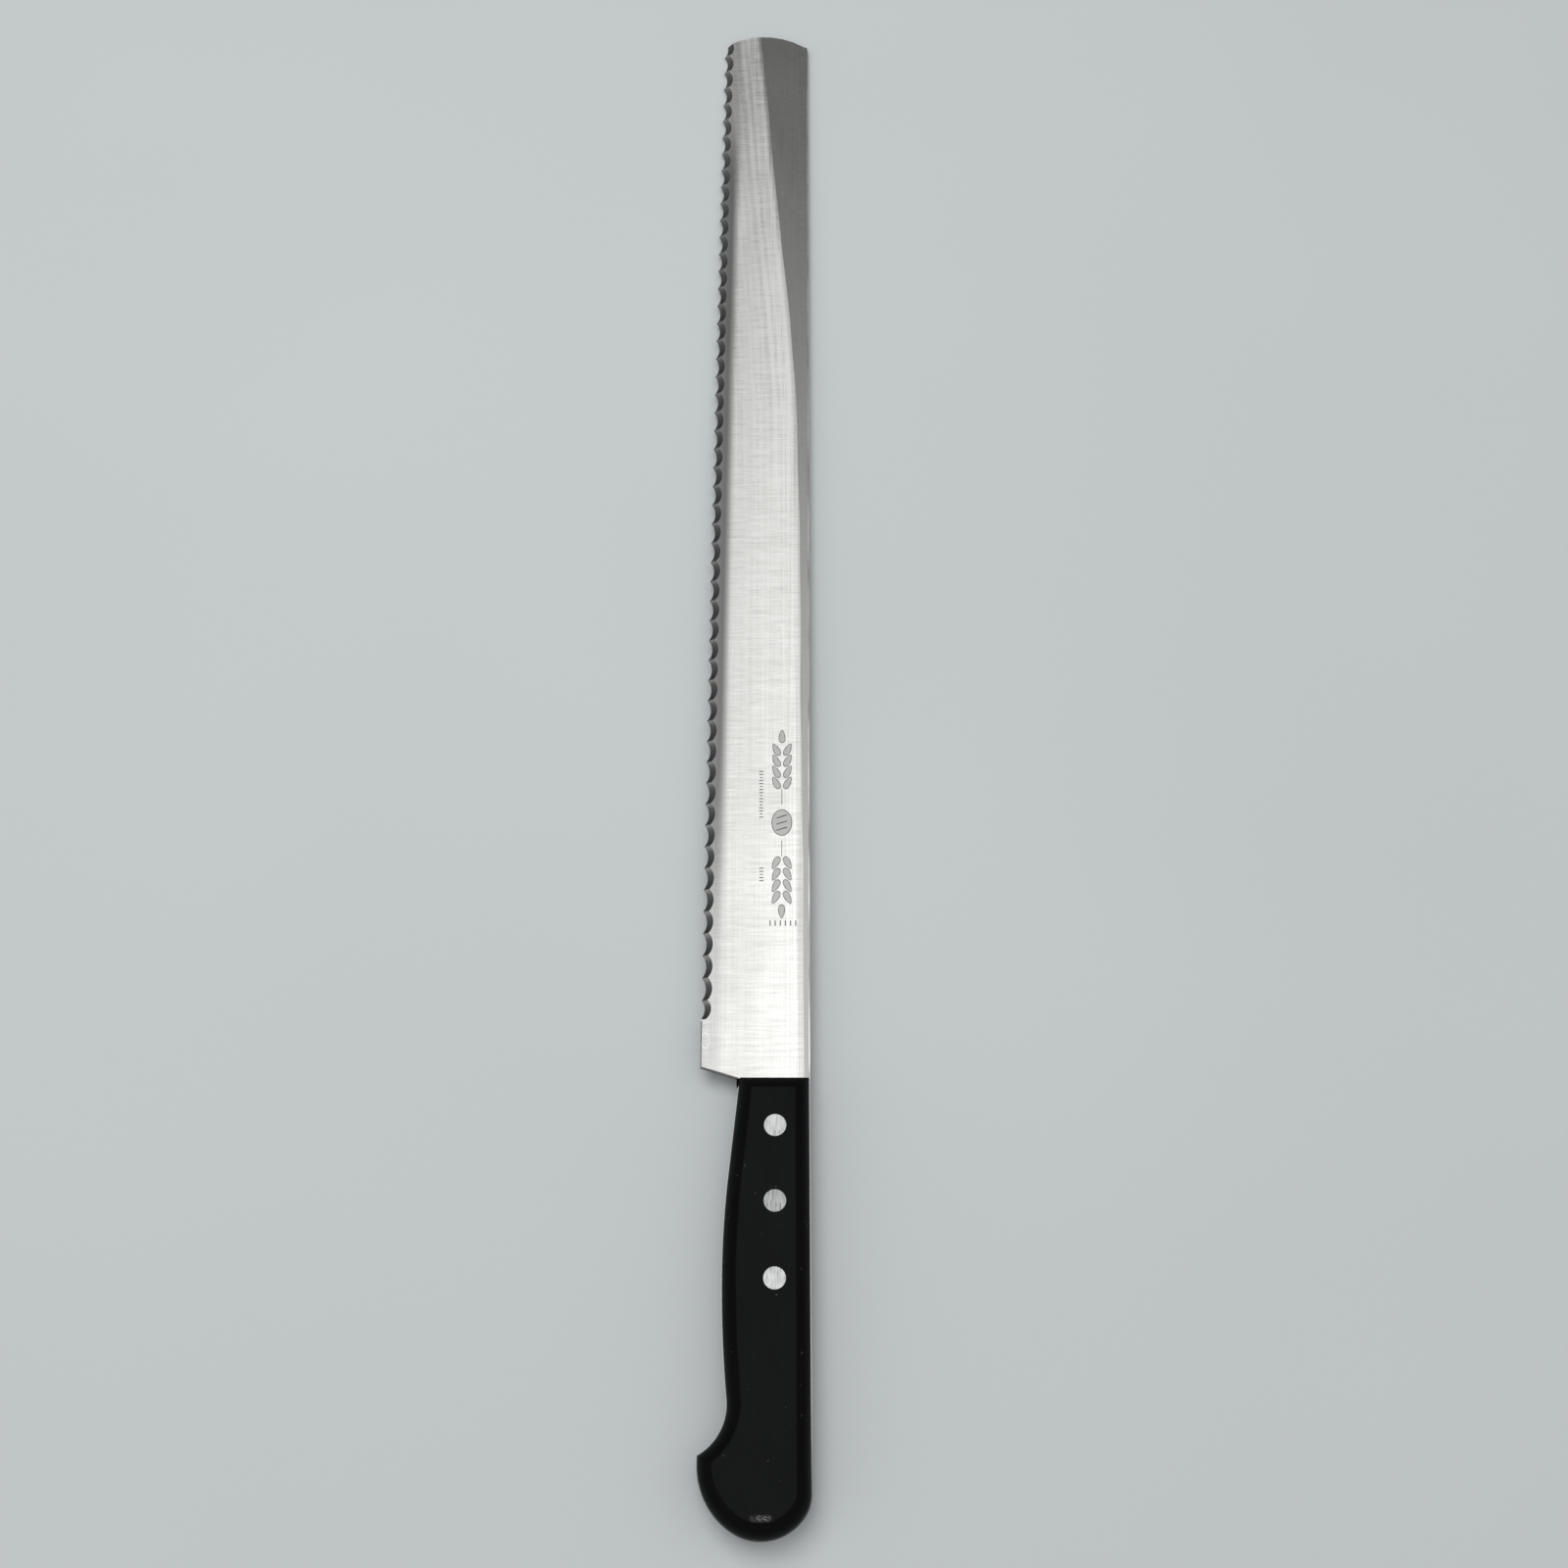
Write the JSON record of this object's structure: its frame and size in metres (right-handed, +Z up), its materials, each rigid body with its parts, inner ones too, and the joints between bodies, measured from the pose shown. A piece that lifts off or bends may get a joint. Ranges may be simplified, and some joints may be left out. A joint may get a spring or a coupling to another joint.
{
  "type": "bread knife",
  "caption": "Long serrated bread and pastry knife with a blunt rounded tip, a full tang and riveted black handle scales.",
  "frame": {"origin": "bottom centre of the whole knife's box, lying on the flat of its lower handle scale", "axes": "+Y along the knife to the tip, +X towards the spine (the cutting edge is on the -X side), +Z up, the side that carries the bevel"},
  "size_m": [0.0308, 0.481, 0.016],
  "materials": {
    "blade_steel": "satin, ground across its length",
    "handle_plastic": "satin black, faint sanding marks along its length",
    "rivet_aluminium": "sanded flush, marks along the handle"
  },
  "bodies": {
    "root": {"blade": "blade_steel", "upper_scale": "handle_plastic", "lower_scale": "handle_plastic", "rivet_tube_front": "rivet_aluminium", "rivet_pin_front": "rivet_aluminium", "rivet_tube_middle": "rivet_aluminium", "rivet_pin_middle": "rivet_aluminium", "rivet_tube_rear": "rivet_aluminium", "rivet_pin_rear": "rivet_aluminium"}
  },
  "joints": []
}
